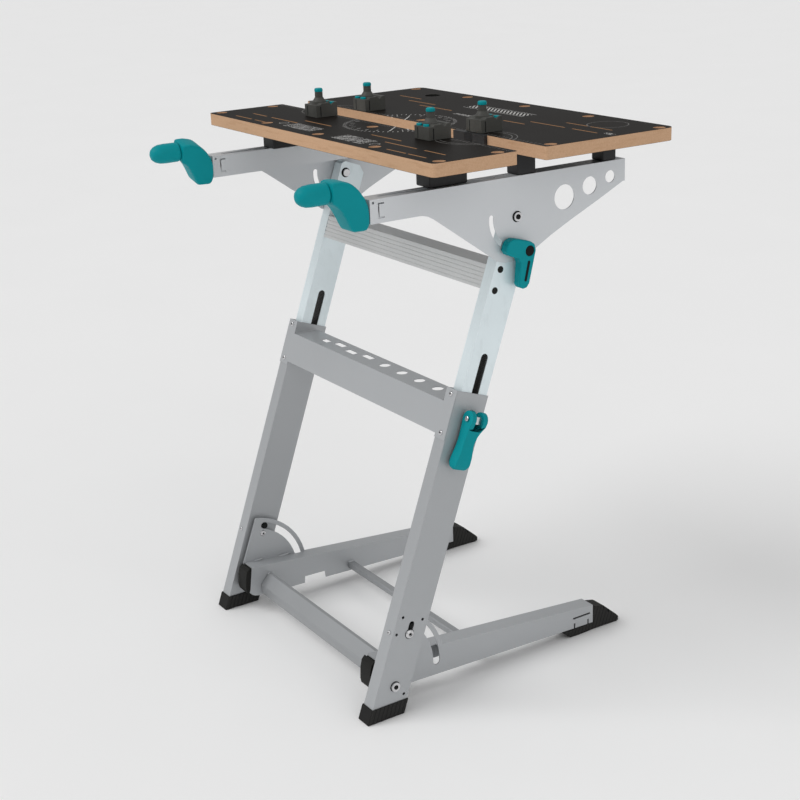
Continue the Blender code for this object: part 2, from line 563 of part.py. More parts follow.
# ---- table -----------------------------------------------------------------
def table_beam(side):
    py, pz = leg_yz(TILT_S, TILT_D)
    section = [(BEAM_IN, BEAM_LOW), (BEAM_IN, BEAM_TOP), (BEAM_OUT, BEAM_TOP), (BEAM_OUT, BEAM_LOW + 0.001),
               (BEAM_OUT - SHEET, BEAM_LOW + 0.001), (BEAM_OUT - SHEET, BEAM_TOP - SHEET),
               (BEAM_IN + SHEET, BEAM_TOP - SHEET), (BEAM_IN + SHEET, BEAM_LOW)]
    body = sweep(section, BEAM_Y0, BEAM_Y1, along_y(side))
    cheek = [(0.1300, BEAM_TOP - 0.02), (BEAM_Y1, BEAM_TOP - 0.02), (BEAM_Y1, 0.8188), (0.4785, 0.7955),
             (0.4160, 0.7685), (0.3770, 0.7505), (0.3550, 0.7385), (0.3330, 0.7270), (0.3120, 0.7215),
             (0.2880, 0.7205), (0.2710, 0.7255), (0.2560, 0.7375), (0.1640, 0.8035), (0.1560, 0.8090),
             (0.1470, 0.8140), (0.1370, 0.8165), (0.1300, 0.8172)]
    plate = sweep(cheek, BEAM_OUT - SHEET, BEAM_OUT, along_x(side))
    end = sweep(rect(BEAM_IN + 0.0005, BEAM_OUT - 0.0005, BEAM_LOW + 0.0015, BEAM_TOP - 0.0005),
                BEAM_Y0 + 0.0002, BEAM_Y0 + SHEET, along_y(side))
    body = weld(body, [plate, end])
    stud_dir = 1.5 * math.pi - LEAN
    tools = [
        rod(side, 0.25, 0.28, py, pz, 0.004 + GAP),
        sweep(arc_slot(py, pz, ARC_R, ARC_HALF, stud_dir - math.radians(75.5), stud_dir + 0.015), 0.262, 0.278,
              along_x(side)),
        rod(side, 0.262, 0.278, 0.4054, 0.8076, 0.0200, 24),
        rod(side, 0.262, 0.278, 0.4568, 0.8188, 0.0145, 20),
        rod(side, 0.262, 0.278, 0.4990, 0.8279, 0.0100, 16),
        rod(side, 0.220, 0.290, 0.0520, 0.8480, 0.0020, 10),
        sweep(circle(SPINDLE_X, SPINDLE_Z, SPINDLE_R + GAP, 16), 0.02, 0.06, along_y(side)),
        sweep(stadium(SPINDLE_X, TOP_SLOT_Y[0] + TOP_SLOT_HALF, SPINDLE_X, TOP_SLOT_Y[1] - TOP_SLOT_HALF,
                      TOP_SLOT_HALF), 0.840, 0.870, along_z(side)),
    ]
    claw = [(0.0600, 0.8240), (0.0705, 0.8240), (0.0705, 0.8262), (0.0622, 0.8262), (0.0622, 0.8448),
            (0.0705, 0.8448), (0.0705, 0.8470), (0.0600, 0.8470)]
    tools.append(sweep(claw, 0.220, 0.290, along_x(side)))
    # the inner wall is only a short lip behind the round holes
    tools.append(sweep(rect(0.3960, 0.5400, 0.7000, 0.8480), BEAM_IN - 0.002, BEAM_OUT - SHEET - 0.0006,
                       along_x(side)))
    finish(cut(body, tools), "table_beam_" + tag(side), "silver_paint", (side * 0.255, py, pz))


def board(x_half, y0, y1, front_r, back_r):
    """Rounded rectangle outline of a table board, as (x, y)."""
    points = []
    for cx, cy, r, start in ((x_half, y0, front_r, -90), (x_half, y1, back_r, 0), (-x_half, y1, back_r, 90),
                             (-x_half, y0, front_r, 180)):
        ux = cx - math.copysign(r, cx)
        uy = cy + r if cy == y0 else cy - r
        for i in range(5):
            a = math.radians(start + 22.5 * i)
            points.append((ux + r * math.cos(a), uy + r * math.sin(a)))
    return points


def table_boards():
    low = TOP_Z - BOARD
    jaw = sweep(board(TABLE_HALF_X, JAW_Y0, JAW_Y1, 0.008, 0.004), low, TOP_Z, along_z(1))
    tools = [sweep(circle(x, y, HOLE_R, 20), 0.8, 1.0, along_z(1)) for x in HOLE_X for y in JAW_ROWS]
    finish(cut(jaw, tools), "front_jaw", "filmed_board", (0.0, (JAW_Y0 + JAW_Y1) / 2, low))
    plate = sweep(board(TABLE_HALF_X, PLATE_Y0, PLATE_Y1, 0.004, 0.014), low, TOP_Z, along_z(1))
    tools = [sweep(circle(x, y, HOLE_R, 20), 0.8, 1.0, along_z(1)) for x in HOLE_X for y in PLATE_ROWS]
    tools.append(sweep(circle(-0.240, 0.505, 0.0150, 24), 0.8, 1.0, along_z(1)))
    x0, x1 = INSERT_X
    tools.append(sweep(rect(x0, x1, PLATE_Y0 - 0.01, PLATE_Y0 + 0.006), 0.8, 1.0, along_z(1)))
    finish(cut(plate, tools), "back_plate", "filmed_board")
    mid = (x0 + x1) / 2
    face = PLATE_Y0 - 0.006
    vee = [(x0 + GAP, PLATE_Y0 + 0.006 - GAP), (x0 + GAP, face), (mid - 0.012, face), (mid, face + 0.0075),
           (mid + 0.012, face), (x1 - GAP, face), (x1 - GAP, PLATE_Y0 + 0.006 - GAP)]
    finish(sweep(vee, low, TOP_Z, along_z(1)), "vee_insert", "dark_plastic")


def table_blocks(side):
    low = BEAM_TOP + GAP
    high = TOP_Z - BOARD - GAP
    name = tag(side)
    for label, y0, y1 in (("mid", 0.315, 0.350), ("rear", 0.485, 0.512)):
        block = sweep(rect(BEAM_IN, BEAM_OUT - 0.001, y0, y1), low, high, along_z(side), 0.0015)
        finish(block, "plate_block_" + label + "_" + name, "dark_plastic")
    body = sweep(rect(0.224, 0.2615, *CARRIAGE_Y), low, high, along_z(side), 0.0015)
    neck = sweep(rect(SPINDLE_X - TOP_SLOT_HALF + GAP, SPINDLE_X + TOP_SLOT_HALF - GAP, *NUT_Y),
                 SPINDLE_Z + 0.006, low + 0.004, along_z(side))
    nut = sweep(circle(SPINDLE_X, SPINDLE_Z, 0.0090, 20), NUT_Y[0], NUT_Y[1], along_y(side))
    body = weld(body, [neck, nut])
    bore = sweep(circle(SPINDLE_X, SPINDLE_Z, SPINDLE_R + GAP, 16), 0.0, 0.5, along_y(side))
    finish(cut(body, [bore]), "jaw_carriage_" + name, "dark_plastic")


def crank_rest(side):
    """How far the crank stands from straight up, turning towards +X."""
    return LEFT_CRANK_TURN if side < 0 else 0.0


def turn_about_spindle(obj, side):
    centre = Matrix.Translation((side * SPINDLE_X, 0.0, SPINDLE_Z))
    obj.data.transform(centre @ Matrix.Rotation(crank_rest(side), 4, "Y") @ centre.inverted())


def crank(side):
    name = tag(side)
    axis = (side * SPINDLE_X, 0.030, SPINDLE_Z)
    rod_shape = sweep(circle(SPINDLE_X, SPINDLE_Z, SPINDLE_R, 16), 0.018, SPINDLE_Y1, along_y(side))
    collar = sweep(circle(SPINDLE_X, SPINDLE_Z, 0.0080, 16), BEAM_Y0 + SHEET + GAP, BEAM_Y0 + 0.006, along_y(side))
    finish(weld(rod_shape, [collar]), "spindle_" + name, "bright_steel", axis)

    arm = sweep(CRANK_SIDE, SPINDLE_X - CRANK_HALF, SPINDLE_X + CRANK_HALF, along_x(side), 0.0055, 2)
    bore = sweep(circle(SPINDLE_X, SPINDLE_Z, SPINDLE_R + GAP, 16), 0.0177, 0.10, along_y(side))
    stub = sweep(circle(SPINDLE_X, SPINDLE_Z + CRANK_ARM, 0.0050, 16), -0.050, 0.002, along_y(side))
    arm = weld(cut(arm, [bore]), [stub])
    turn_about_spindle(arm, side)
    finish(arm, "crank_" + name, "teal_plastic", axis)

    z = SPINDLE_Z + CRANK_ARM
    profile = [(-0.0166, GRIP_R - 0.0010), (-0.0176, GRIP_R), (-0.0400, GRIP_R + 0.0003), (-0.0510, GRIP_R - 0.0005),
               (-0.0580, GRIP_R - 0.0030), (-0.0630, GRIP_R - 0.0070), (-0.0655, GRIP_R - 0.0120)]
    grip = turned(profile, 20, lambda a, b, y: Vector((side * SPINDLE_X + a, y, z + b)))
    hole = sweep(circle(SPINDLE_X, z, 0.0050 + GAP, 16), -0.0503, 0.02, along_y(side))
    grip = cut(grip, [hole])
    turn_about_spindle(grip, side)
    turn = crank_rest(side)
    centre = (side * SPINDLE_X + CRANK_ARM * math.sin(turn), -0.03, SPINDLE_Z + CRANK_ARM * math.cos(turn))
    finish(grip, "crank_grip_" + name, "teal_plastic", centre)


def bench_dog(index, x, y):
    base = TOP_Z + GAP
    profile = [(-0.0175, 0.0), (0.0240, 0.0), (0.0240, 0.0235), (0.0170, 0.0235), (0.0125, 0.0190), (0.0080, 0.0235),
               (-0.0060, 0.0235), (-0.0100, 0.0205), (-0.0175, 0.0205)]
    outline = [(y + u, base + v) for u, v in profile]
    body = sweep(outline, x - 0.020, x + 0.020, along_x(1))
    shank = sweep(circle(x, y, HOLE_R - GAP - 0.0002, 16), TOP_Z - 0.019, base + 0.002, along_z(1))
    collar = sweep(circle(x, y, 0.0125, 16), base + 0.012, base + 0.0255, along_z(1))
    post = sweep(circle(x, y, 0.0068, 16), base + 0.02, base + 0.0410, along_z(1))
    name = "dog_body_%d" % index
    finish(weld(body, [shank, collar, post]), name, "dark_plastic", (x, y, TOP_Z))
    profile = [(base + 0.0410 + GAP, 0.0072), (base + 0.0455, 0.0072), (base + 0.0472, 0.0058)]
    cap = turned(profile, 16, lambda a, b, z: Vector((x + a, y + b, z)))
    finish(cap, "dog_cap_%d" % index, "teal_plastic", (x, y, TOP_Z))


def main():
    clear_scene()
    tool_crossbar()
    cross_members()
    upper_crossbar()
    table_boards()
    for side in (-1, 1):
        lower_leg(side)
        leg_foot_cap(side)
        height_clamp(side)
        fold_hardware(side)
        base_rail(side)
        rail_end_plug(side)
        rear_foot(side)
        upper_leg(side)
        slot_liner(side)
        tilt_hardware(side)
        table_beam(side)
        table_blocks(side)
        crank(side)
    spots = ((HOLE_X[1], JAW_ROWS[1]), (HOLE_X[1], PLATE_ROWS[0]), (HOLE_X[3], JAW_ROWS[1]),
             (HOLE_X[3], PLATE_ROWS[0]))
    for i, (x, y) in enumerate(spots):
        bench_dog(i + 1, x, y)


main()
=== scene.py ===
"""Studio scene of the folding work platform bench: finishes, small hardware, light and camera."""

import json
import math

import bmesh
import bpy
from mathutils import Matrix, Vector

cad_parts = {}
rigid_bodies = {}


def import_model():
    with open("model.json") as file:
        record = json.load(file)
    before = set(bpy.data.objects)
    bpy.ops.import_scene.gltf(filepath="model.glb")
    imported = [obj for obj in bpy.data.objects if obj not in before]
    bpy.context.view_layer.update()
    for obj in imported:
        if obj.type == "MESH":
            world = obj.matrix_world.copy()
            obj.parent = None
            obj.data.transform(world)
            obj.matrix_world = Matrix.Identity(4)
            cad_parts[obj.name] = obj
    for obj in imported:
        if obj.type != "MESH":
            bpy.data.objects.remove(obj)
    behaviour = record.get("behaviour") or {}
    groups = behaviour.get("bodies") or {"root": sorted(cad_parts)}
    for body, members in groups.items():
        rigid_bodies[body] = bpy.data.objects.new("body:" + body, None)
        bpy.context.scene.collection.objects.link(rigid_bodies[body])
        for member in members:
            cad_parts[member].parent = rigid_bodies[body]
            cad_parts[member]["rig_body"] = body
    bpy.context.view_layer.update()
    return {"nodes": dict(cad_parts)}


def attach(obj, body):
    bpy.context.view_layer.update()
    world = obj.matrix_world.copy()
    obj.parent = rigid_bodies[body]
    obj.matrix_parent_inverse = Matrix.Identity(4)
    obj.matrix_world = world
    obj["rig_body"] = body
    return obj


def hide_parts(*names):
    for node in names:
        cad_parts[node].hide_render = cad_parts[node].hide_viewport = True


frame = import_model()
NODES = frame["nodes"]

# ---- places taken from the bench's own layout (metres) ----------------------
SHIFT_Y = -0.24745
LEAN = math.radians(19.9)
SIN_L = math.sin(LEAN)
COS_L = math.cos(LEAN)
FOOT_Y = 0.0019
TOP_Z = 0.9095
BOARD = 0.0205
TABLE_HALF_X = 0.355
LEG_OUT = 0.268                        # outer face of the lower legs
BEAM_OUT = 0.270                       # outer face of the table beams
TILT_BOLT = (0.8485, 0.0222)           # (s, d) of the table's tilt pivot
FOLD_BOLT = (0.0689, 0.0317)           # (s, d) of the base's fold pivot
GUIDE_SCREW = (0.1600, 0.0325)         # (s, d) of the screw above the fold pivot
CLAMP_S = 0.5255                       # height clamp, up the leg
CLAMP_X = 0.284                        # pin of the clamp lever, across
DOG_X = (TABLE_HALF_X - 0.013) / 2.0   # column of dog holes that holds the dogs
JAW_ROW = 0.223
PLATE_ROW = 0.321
ARC_Y = 0.2765                         # centre of the printed measuring arcs, in the gap between the boards
THIN_LINE = 0.0006                     # half width of a printed line
FILM = 0.00035                         # depth of the boards' film


def leg_point(x, s, d):
    """Point of the leaning legs: x across, s up the leg, d from its front towards its back."""
    return Vector((x, FOOT_Y + s * SIN_L + d * COS_L + SHIFT_Y, s * COS_L - d * SIN_L))


def bench_point(x, y, z):
    """Point whose depth counts from the front feet, moved to where the bench stands."""
    return Vector((x, y + SHIFT_Y, z))


# ---- shader building --------------------------------------------------------
class Value:
    """A number or colour flowing through a material; sums on it become nodes."""

    def __init__(self, finish, socket):
        self.finish = finish
        self.socket = socket

    def math(self, operation, *others):
        return self.finish.sum(operation, self, *others)

    def __add__(self, other):
        return self.math("ADD", other)

    def __radd__(self, other):
        return self.finish.sum("ADD", other, self)

    def __sub__(self, other):
        return self.math("SUBTRACT", other)

    def __rsub__(self, other):
        return self.finish.sum("SUBTRACT", other, self)

    def __mul__(self, other):
        return self.math("MULTIPLY", other)

    def __rmul__(self, other):
        return self.finish.sum("MULTIPLY", other, self)

    def __truediv__(self, other):
        return self.math("DIVIDE", other)

    def __lt__(self, other):
        return self.math("LESS_THAN", other)

    def __gt__(self, other):
        return self.math("GREATER_THAN", other)

    def __abs__(self):
        return self.math("ABSOLUTE")


class Finish:
    """One material, with its Principled shader and the nodes that feed it."""

    def __init__(self, name, metallic=0.0, **constants):
        self.material = bpy.data.materials.new(name)
        self.material.use_nodes = True
        self.tree = self.material.node_tree
        self.shader = self.tree.nodes["Principled BSDF"]
        self.shader.inputs["Metallic"].default_value = metallic
        for key, value in constants.items():
            self.shader.inputs[key.replace("_", " ")].default_value = value
        self.place = self.node("ShaderNodeTexCoord", {}, {}, "Object")
        split = self.node("ShaderNodeSeparateXYZ", {}, {"Vector": self.place}, None)
        self.x = Value(self, split.outputs["X"])
        self.y = Value(self, split.outputs["Y"])
        self.z = Value(self, split.outputs["Z"])

    def node(self, kind, settings, inputs, output=0):
        """A node with its settings made first, then its inputs; gives the wanted output."""
        made = self.tree.nodes.new(kind)
        for key, value in settings.items():
            setattr(made, key, value)
        for key, value in inputs.items():
            if isinstance(value, Value):
                self.tree.links.new(value.socket, made.inputs[key])
            elif value is not None:
                made.inputs[key].default_value = value
        return made if output is None else Value(self, made.outputs[output])

    def sum(self, operation, *terms):
        """One arithmetic node on its terms."""
        return self.node("ShaderNodeMath", {"operation": operation}, dict(enumerate(terms)))

    def top(self, *terms):
        """The largest of several values."""
        best = terms[0]
        for term in terms[1:]:
            best = self.sum("MAXIMUM", best, term)
        return best

    def blend(self, low, high, factor):
        """Colour between two colours."""
        colours = {6: tuple(low) + (1.0,) if isinstance(low, tuple) else low,
                   7: tuple(high) + (1.0,) if isinstance(high, tuple) else high, 0: factor}
        return self.node("ShaderNodeMix", {"data_type": "RGBA"}, colours, 2)

    def noise(self, scale, detail, stretch=(1.0, 1.0, 1.0)):
        """Cloudy pattern fixed to the piece, from 0 to 1."""
        place = self.node("ShaderNodeVectorMath", {"operation": "MULTIPLY"}, {0: self.place, 1: stretch})
        return self.node("ShaderNodeTexNoise", {}, {"Vector": place, "Scale": scale, "Detail": detail})

    def ease(self, value, low, high):
        """0 below low, 1 above high, smooth between."""
        settings = {"interpolation_type": "SMOOTHSTEP"}
        return self.node("ShaderNodeMapRange", settings, {"Value": value, "From Min": low, "From Max": high})

    def relief(self, height, depth, strength, under=None):
        """Bump of a given depth in metres; under is a bump it adds to."""
        inputs = {"Height": height, "Distance": depth, "Strength": strength, "Normal": under}
        return self.node("ShaderNodeBump", {}, inputs)

    def set(self, **links):
        """Feed the shader's inputs by name and give the material."""
        for key, value in links.items():
            socket = self.shader.inputs[key.replace("_", " ")]
            if isinstance(value, Value):
                self.tree.links.new(value.socket, socket)
            else:
                socket.default_value = value
        return self.material


def shade(colour, factor):
    """A lighter or darker tone of a colour."""
    return tuple(min(1.0, c * factor) for c in colour)


def powder_coat(name, colour):
    """Satin silver-grey coating with a faint orange peel and a little settled dust."""
    f = Finish(name, metallic=0.45)
    broad = f.noise(5.0, 4.0)
    peel = f.noise(420.0, 2.0)
    speck = f.noise(2600.0, 1.0)
    tone = f.blend(shade(colour, 0.93), shade(colour, 1.05), broad)
    tone = f.blend(tone, shade(colour, 1.16), f.ease(speck, 0.60, 0.78) * 0.35)
    rough = 0.36 + 0.10 * broad + 0.06 * speck
    return f.set(Base_Color=tone, Roughness=rough, Normal=f.relief(peel, 0.00010, 0.35))


def zinc_plate(name, colour, stretch, metallic):
    """Pale plated or drawn metal with fine drawing lines along its length."""
    f = Finish(name, metallic=metallic)
    lines = f.noise(700.0, 2.0, stretch)
    cloud = f.noise(9.0, 4.0)
    tone = f.blend(shade(colour, 0.90), shade(colour, 1.05), cloud)
    tone = f.blend(tone, shade(colour, 0.86), f.ease(lines, 0.52, 0.75) * 0.4)
    rough = 0.24 + 0.14 * lines + 0.08 * cloud
    return f.set(Base_Color=tone, Roughness=rough, Normal=f.relief(lines, 0.00005, 0.3))


def bright_screw(name):
    """Bright plated screws and bolts with fine turning marks."""
    f = Finish(name, metallic=1.0)
    fine = f.noise(1500.0, 2.0)
    cloud = f.noise(120.0, 2.0)
    tone = f.blend((0.52, 0.52, 0.53), (0.74, 0.74, 0.75), cloud)
    return f.set(Base_Color=tone, Roughness=0.18 + 0.16 * fine, Normal=f.relief(fine, 0.00004, 0.3))


def threaded_rod(name):
    """Spindle whose thread shows through the slot of the beam; its roots carry painted shade and its crests a
    painted highlight.
    """
    f = Finish(name, metallic=1.0)
    thread = f.sum("PINGPONG", f.y, 0.0020) / 0.0020
    stain = f.noise(60.0, 3.0)
    # painted shade in the thread's roots and a painted highlight on its crests, following the thread's phase
    tone = f.blend((0.20, 0.20, 0.20), (0.60, 0.60, 0.60), thread)
    return f.set(Base_Color=f.blend(tone, (0.30, 0.27, 0.22), stain * 0.3), Roughness=0.25 + 0.2 * stain,
                 Normal=f.relief(thread, 0.0011, 0.8))


def moulded(name, colour, grain=900.0, rough=0.42, lift=1.10):
    """Moulded plastic with a fine spark-eroded texture and soft tone changes."""
    f = Finish(name, Specular_IOR_Level=0.12)
    fine = f.noise(grain, 2.0)
    broad = f.noise(14.0, 3.0)
    tone = f.blend(shade(colour, 0.90), shade(colour, lift), broad)
    tone = f.blend(tone, shade(colour, 1.25), f.ease(fine, 0.56, 0.80) * 0.30)
    return f.set(Base_Color=tone, Roughness=rough + 0.10 * fine + 0.05 * broad,
                 Normal=f.relief(fine, 0.00010, 0.45))


def ribbed_rubber(name, pitch):
    """Black rubber foot with upright grip ribs, painted shade in the grooves between them, and a grey bloom of
    dust.
    """
    f = Finish(name, Specular_IOR_Level=0.3)
    rib = f.ease(f.sum("PINGPONG", f.y - f.z * (SIN_L / COS_L), pitch) / pitch, 0.16, 0.40)
    fine = f.noise(1100.0, 3.0)
    dust = f.noise(22.0, 4.0)
    tone = f.blend((0.010, 0.010, 0.009), (0.022, 0.021, 0.020), dust)
    tone = f.blend(tone, (0.048, 0.046, 0.043), f.ease(fine, 0.58, 0.80) * 0.5)
    # painted shade: the grooves between the ribs are darkened towards near black
    tone = f.blend((0.003, 0.003, 0.003), tone, 0.25 + 0.75 * rib)
    bump = f.relief(fine, 0.00012, 0.5, f.relief(rib, 0.0010, 0.8))
    return f.set(Base_Color=tone, Roughness=0.62 + 0.18 * dust, Normal=bump)


def toothed_strip(name, pitch):
    """Black guide strip seen in the slot of the upper leg, with fine teeth across it, painted shade between
    the teeth and a painted highlight on their crests.
    """
    f = Finish(name, Specular_IOR_Level=0.35)
    tooth = f.sum("PINGPONG", f.z + f.y * 0.6, pitch) / pitch
    fine = f.noise(1300.0, 2.0)
    # painted shade between the teeth and a painted highlight on their crests, following the tooth phase
    tone = f.blend((0.004, 0.004, 0.004), (0.050, 0.050, 0.048), f.ease(tooth, 0.35, 0.85))
    return f.set(Base_Color=f.blend(tone, (0.07, 0.07, 0.07), f.ease(fine, 0.62, 0.8) * 0.4),
                 Roughness=0.45 + 0.15 * fine, Normal=f.relief(tooth, 0.0009, 0.8))


def dark_grain(name, colour):
    """Glass-filled dark plastic of the blocks and dogs, a little streaky from moulding."""
    f = Finish(name, Specular_IOR_Level=0.3)
    fine = f.noise(1300.0, 2.0)
    streak = f.noise(60.0, 3.0, (1.0, 0.35, 0.35))
    tone = f.blend(shade(colour, 0.75), shade(colour, 1.35), streak)
    tone = f.blend(tone, shade(colour, 2.1), f.ease(fine, 0.60, 0.80) * 0.4)
    return f.set(Base_Color=tone, Roughness=0.46 + 0.16 * fine, Normal=f.relief(fine, 0.00012, 0.4))


def box_mask(f, x0, x1, y0, y1):
    """1 inside a rectangle of the board, seen from above."""
    across = abs(f.x - (x0 + x1) / 2.0) - (x1 - x0) / 2.0
    along = abs(f.y - ((y0 + y1) / 2.0 + SHIFT_Y)) - (y1 - y0) / 2.0
    return f.sum("MAXIMUM", across, along) < 0.0


def print_rows(f, x0, x1, y0, y1):
    """Rows of small printed blocks, like a table of saw settings seen from afar."""
    row = f.sum("FLOOR", f.y / 0.0058)
    cell = f.sum("FLOOR", f.x / 0.0027 + row * 0.37)
    pick = f.node("ShaderNodeCombineXYZ", {}, {"X": cell, "Y": row})
    pick = f.node("ShaderNodeTexWhiteNoise", {"noise_dimensions": "3D"}, {"Vector": pick}, "Value")
    ink = (pick > 0.38) * (f.sum("PINGPONG", f.y, 0.0029) < 0.0016)
    return ink * box_mask(f, x0, x1, y0, y1)


def ray_mask(f, x, y, degrees, near, far, half):
    """A straight printed line at an angle from a point, between two distances."""
    c = math.cos(math.radians(degrees))
    s = math.sin(math.radians(degrees))
    dx = f.x - x
    dy = f.y - (y + SHIFT_Y)
    along = dx * c + dy * s
    off = abs(dx * s * -1.0 + dy * c) - half
    return f.top(off, near - along, along - far) < 0.0


def ring_mask(f, x, y, radius, half=THIN_LINE):
    """A printed circle."""
    dx = f.x - x
    dy = f.y - (y + SHIFT_Y)
    away = f.sum("SQRT", dx * dx + dy * dy)
    return abs(away - radius) < half


def tick_ring(f, radius, half, step, width):
    """Printed ticks round the centre of the measuring arcs, one every two steps (degrees)."""
    turn = f.sum("ARCTAN2", f.y - (ARC_Y + SHIFT_Y), f.x)
    ticks = f.sum("PINGPONG", turn, math.radians(step)) < math.radians(width)
    return ring_mask(f, 0.0, ARC_Y, radius, half) * ticks


def measuring_print(f):
    """Degree ticks, angle lines, edge rulers and faint arcs of both boards."""
    rays = f.top(*[ray_mask(f, 0.004, 0.274, a, 0.034, 0.078, 0.0009) for a in (135.0, 157.5, -45.0, -22.5)])
    jaw_edge = abs(f.y - (0.2430 + SHIFT_Y)) < 0.0035
    plate_edge = abs(f.y - (0.3090 + SHIFT_Y)) < 0.0035
    rulers = (f.sum("PINGPONG", f.x, 0.005) < 0.0004) * (jaw_edge + plate_edge)
    faint = f.top(ring_mask(f, 0.214, ARC_Y, 0.0560), ring_mask(f, 0.214, ARC_Y, 0.0640),
                  ring_mask(f, -0.214, ARC_Y, 0.0560), ring_mask(f, 0.262, 0.500, 0.0330))
    ticks = f.top(tick_ring(f, 0.0915, 0.0030, 2.5, 0.40), tick_ring(f, 0.0800, 0.0040, 7.5, 0.45))
    return f.top(ticks, rays, rulers * 0.55, faint * 0.32)


def plain_print(f):
    """Tables of settings as plain blocks, and the hatched panel of the back plate."""
    tables = f.top(print_rows(f, -0.124, -0.036, 0.124, 0.154), print_rows(f, 0.044, 0.132, 0.116, 0.150),
                   print_rows(f, 0.322, 0.346, 0.437, 0.447), print_rows(f, -0.020, 0.030, 0.395, 0.408),
                   ring_mask(f, -0.146, 0.139, 0.0080), ring_mask(f, 0.152, 0.132, 0.0080))
    hatching = f.sum("PINGPONG", f.x + f.y, 0.0045) < 0.0021
    panel = hatching * box_mask(f, -0.070, 0.092, 0.462, 0.482)
    rules = f.top(box_mask(f, -0.074, 0.096, 0.457, 0.4582), box_mask(f, -0.074, 0.096, 0.4858, 0.487))
    return f.top(tables * 0.75, panel * 0.8, rules)


def filmed_board(name, bars):
    """Board with a dark hard film above and below, tan core at its edges, holes and routed lines."""
    f = Finish(name, Specular_IOR_Level=0.03)
    fibre = f.noise(520.0, 5.0)
    flow = f.noise(60.0, 4.0, (0.4, 0.4, 4.0))
    chips = f.noise(1700.0, 2.0)
    core = f.blend((0.47, 0.280, 0.160), (0.66, 0.44, 0.29), fibre)
    core = f.blend(core, (0.42, 0.240, 0.130), f.ease(flow, 0.50, 0.74) * 0.35)
    core = f.blend(core, (0.28, 0.14, 0.06), f.ease(chips, 0.60, 0.80) * 0.35)

    up = f.z > (TOP_Z - FILM)
    down = f.z < (TOP_Z - BOARD + FILM)
    skin = f.sum("MAXIMUM", up, down)
    line = 0.0013
    lines = f.top(*[box_mask(f, x0, x1, y - line, y + line) for x0, x1, y in bars]) * up
    sheen = f.noise(3.5, 4.0)
    emboss = f.noise(520.0, 3.0)
    film = f.blend((0.0085, 0.0072, 0.0062), (0.0160, 0.0134, 0.0116), sheen)
    film = f.blend(film, (0.027, 0.024, 0.021), f.ease(emboss, 0.58, 0.78) * 0.5)
    wear = f.ease(f.noise(320.0, 3.0), 0.30, 0.62)
    ink = f.top(measuring_print(f), plain_print(f)) * up
    film = f.blend(film, (0.72, 0.71, 0.69), ink * (0.50 + 0.45 * wear))
    film = f.blend(film, f.blend((0.36, 0.18, 0.08), (0.50, 0.28, 0.14), fibre), lines)

    surface = f.blend(core, film, skin)
    rough_film = 0.38 + 0.10 * sheen + 0.10 * emboss + 0.35 * lines
    rough = (1.0 - skin) * (0.72 + 0.15 * fibre) + skin * rough_film
    height = skin * (emboss * 0.25 - lines * 3.0) + (1.0 - skin) * (fibre * 0.8 + chips * 0.6)
    return f.set(Base_Color=surface, Roughness=rough, Normal=f.relief(height, 0.00018, 0.55))


# ---- piece building ---------------------------------------------------------
FLAT_ANGLE = math.radians(0.8)         # faces that meet flatter than this become one
CORNER_ANGLE = math.radians(32.0)      # edges sharper than this are rounded
SMOOTH_ANGLE = math.radians(38.0)      # edges sharper than this are shaded sharp
FINISHES = {}


def show(bm, name, body, material, node_slot, smooth=SMOOTH_ANGLE, weighted=True):
    """Turn a finished bmesh into a piece that rides on a body of the bench."""
    mesh = bpy.data.meshes.new(name)
    bm.to_mesh(mesh)
    bm.free()
    for face in mesh.polygons:
        face.use_smooth = True
    mesh.set_sharp_from_angle(angle=smooth)
    mesh.materials.append(material)
    piece = bpy.data.objects.new(name, mesh)
    bpy.context.scene.collection.objects.link(piece)
    if weighted:
        even = piece.modifiers.new("even_light", "WEIGHTED_NORMAL")
        even.keep_sharp = True
    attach(piece, body)
    return piece


def eased(node, material, width, segments):
    """A copy of a solid with its edges rounded as pressing, moulding or sawing leaves them."""
    source = NODES[node]
    bm = bmesh.new()
    bm.from_mesh(source.data)
    bmesh.ops.remove_doubles(bm, verts=bm.verts[:], dist=0.000002)
    bmesh.ops.dissolve_limit(bm, angle_limit=FLAT_ANGLE, verts=bm.verts[:], edges=bm.edges[:],
                             use_dissolve_boundaries=False)
    corners = [e for e in bm.edges if len(e.link_faces) == 2 and e.calc_face_angle() > CORNER_ANGLE]
    bmesh.ops.bevel(bm, geom=corners, offset=width, offset_type="OFFSET", segments=segments, profile=0.5,
                    affect="EDGES", clamp_overlap=True, material=-1, loop_slide=True)
    bmesh.ops.recalc_face_normals(bm, faces=bm.faces[:])
    piece = show(bm, "shown_" + node, source["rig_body"], material, node)
    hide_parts(node)


def placed(bm, centre, axis):
    """Move a piece modelled round +Z at the origin to a place and direction."""
    turn = Vector((0.0, 0.0, 1.0)).rotation_difference(Vector(axis).normalized()).to_matrix().to_4x4()
    bmesh.ops.transform(bm, matrix=Matrix.Translation(centre) @ turn, verts=bm.verts[:])


def turned(profile, steps):
    """Solid turned round +Z from (radius, height) points that run from axis to axis or close on themselves."""
    bm = bmesh.new()
    points = [bm.verts.new((r, 0.0, h)) for r, h in profile]
    edges = [bm.edges.new(pair) for pair in zip(points, points[1:])]
    bmesh.ops.spin(bm, geom=points + edges, cent=(0, 0, 0), axis=(0, 0, 1), angle=2.0 * math.pi, steps=steps,
                   use_merge=True, use_duplicate=False)
    bmesh.ops.remove_doubles(bm, verts=bm.verts[:], dist=0.000004)
    bmesh.ops.dissolve_degenerate(bm, dist=0.000002, edges=bm.edges[:])
    bmesh.ops.recalc_face_normals(bm, faces=bm.faces[:])
    return bm


def button_head(radius, height):
    """Rounded screw head with a round socket."""
    socket = radius * 0.42
    return turned([(0.0, 0.0), (radius, 0.0), (radius, height * 0.25), (radius * 0.93, height * 0.62),
                   (radius * 0.76, height * 0.90), (radius * 0.60, height), (socket, height),
                   (socket * 0.94, height * 0.45), (0.0, height * 0.40)], 36)


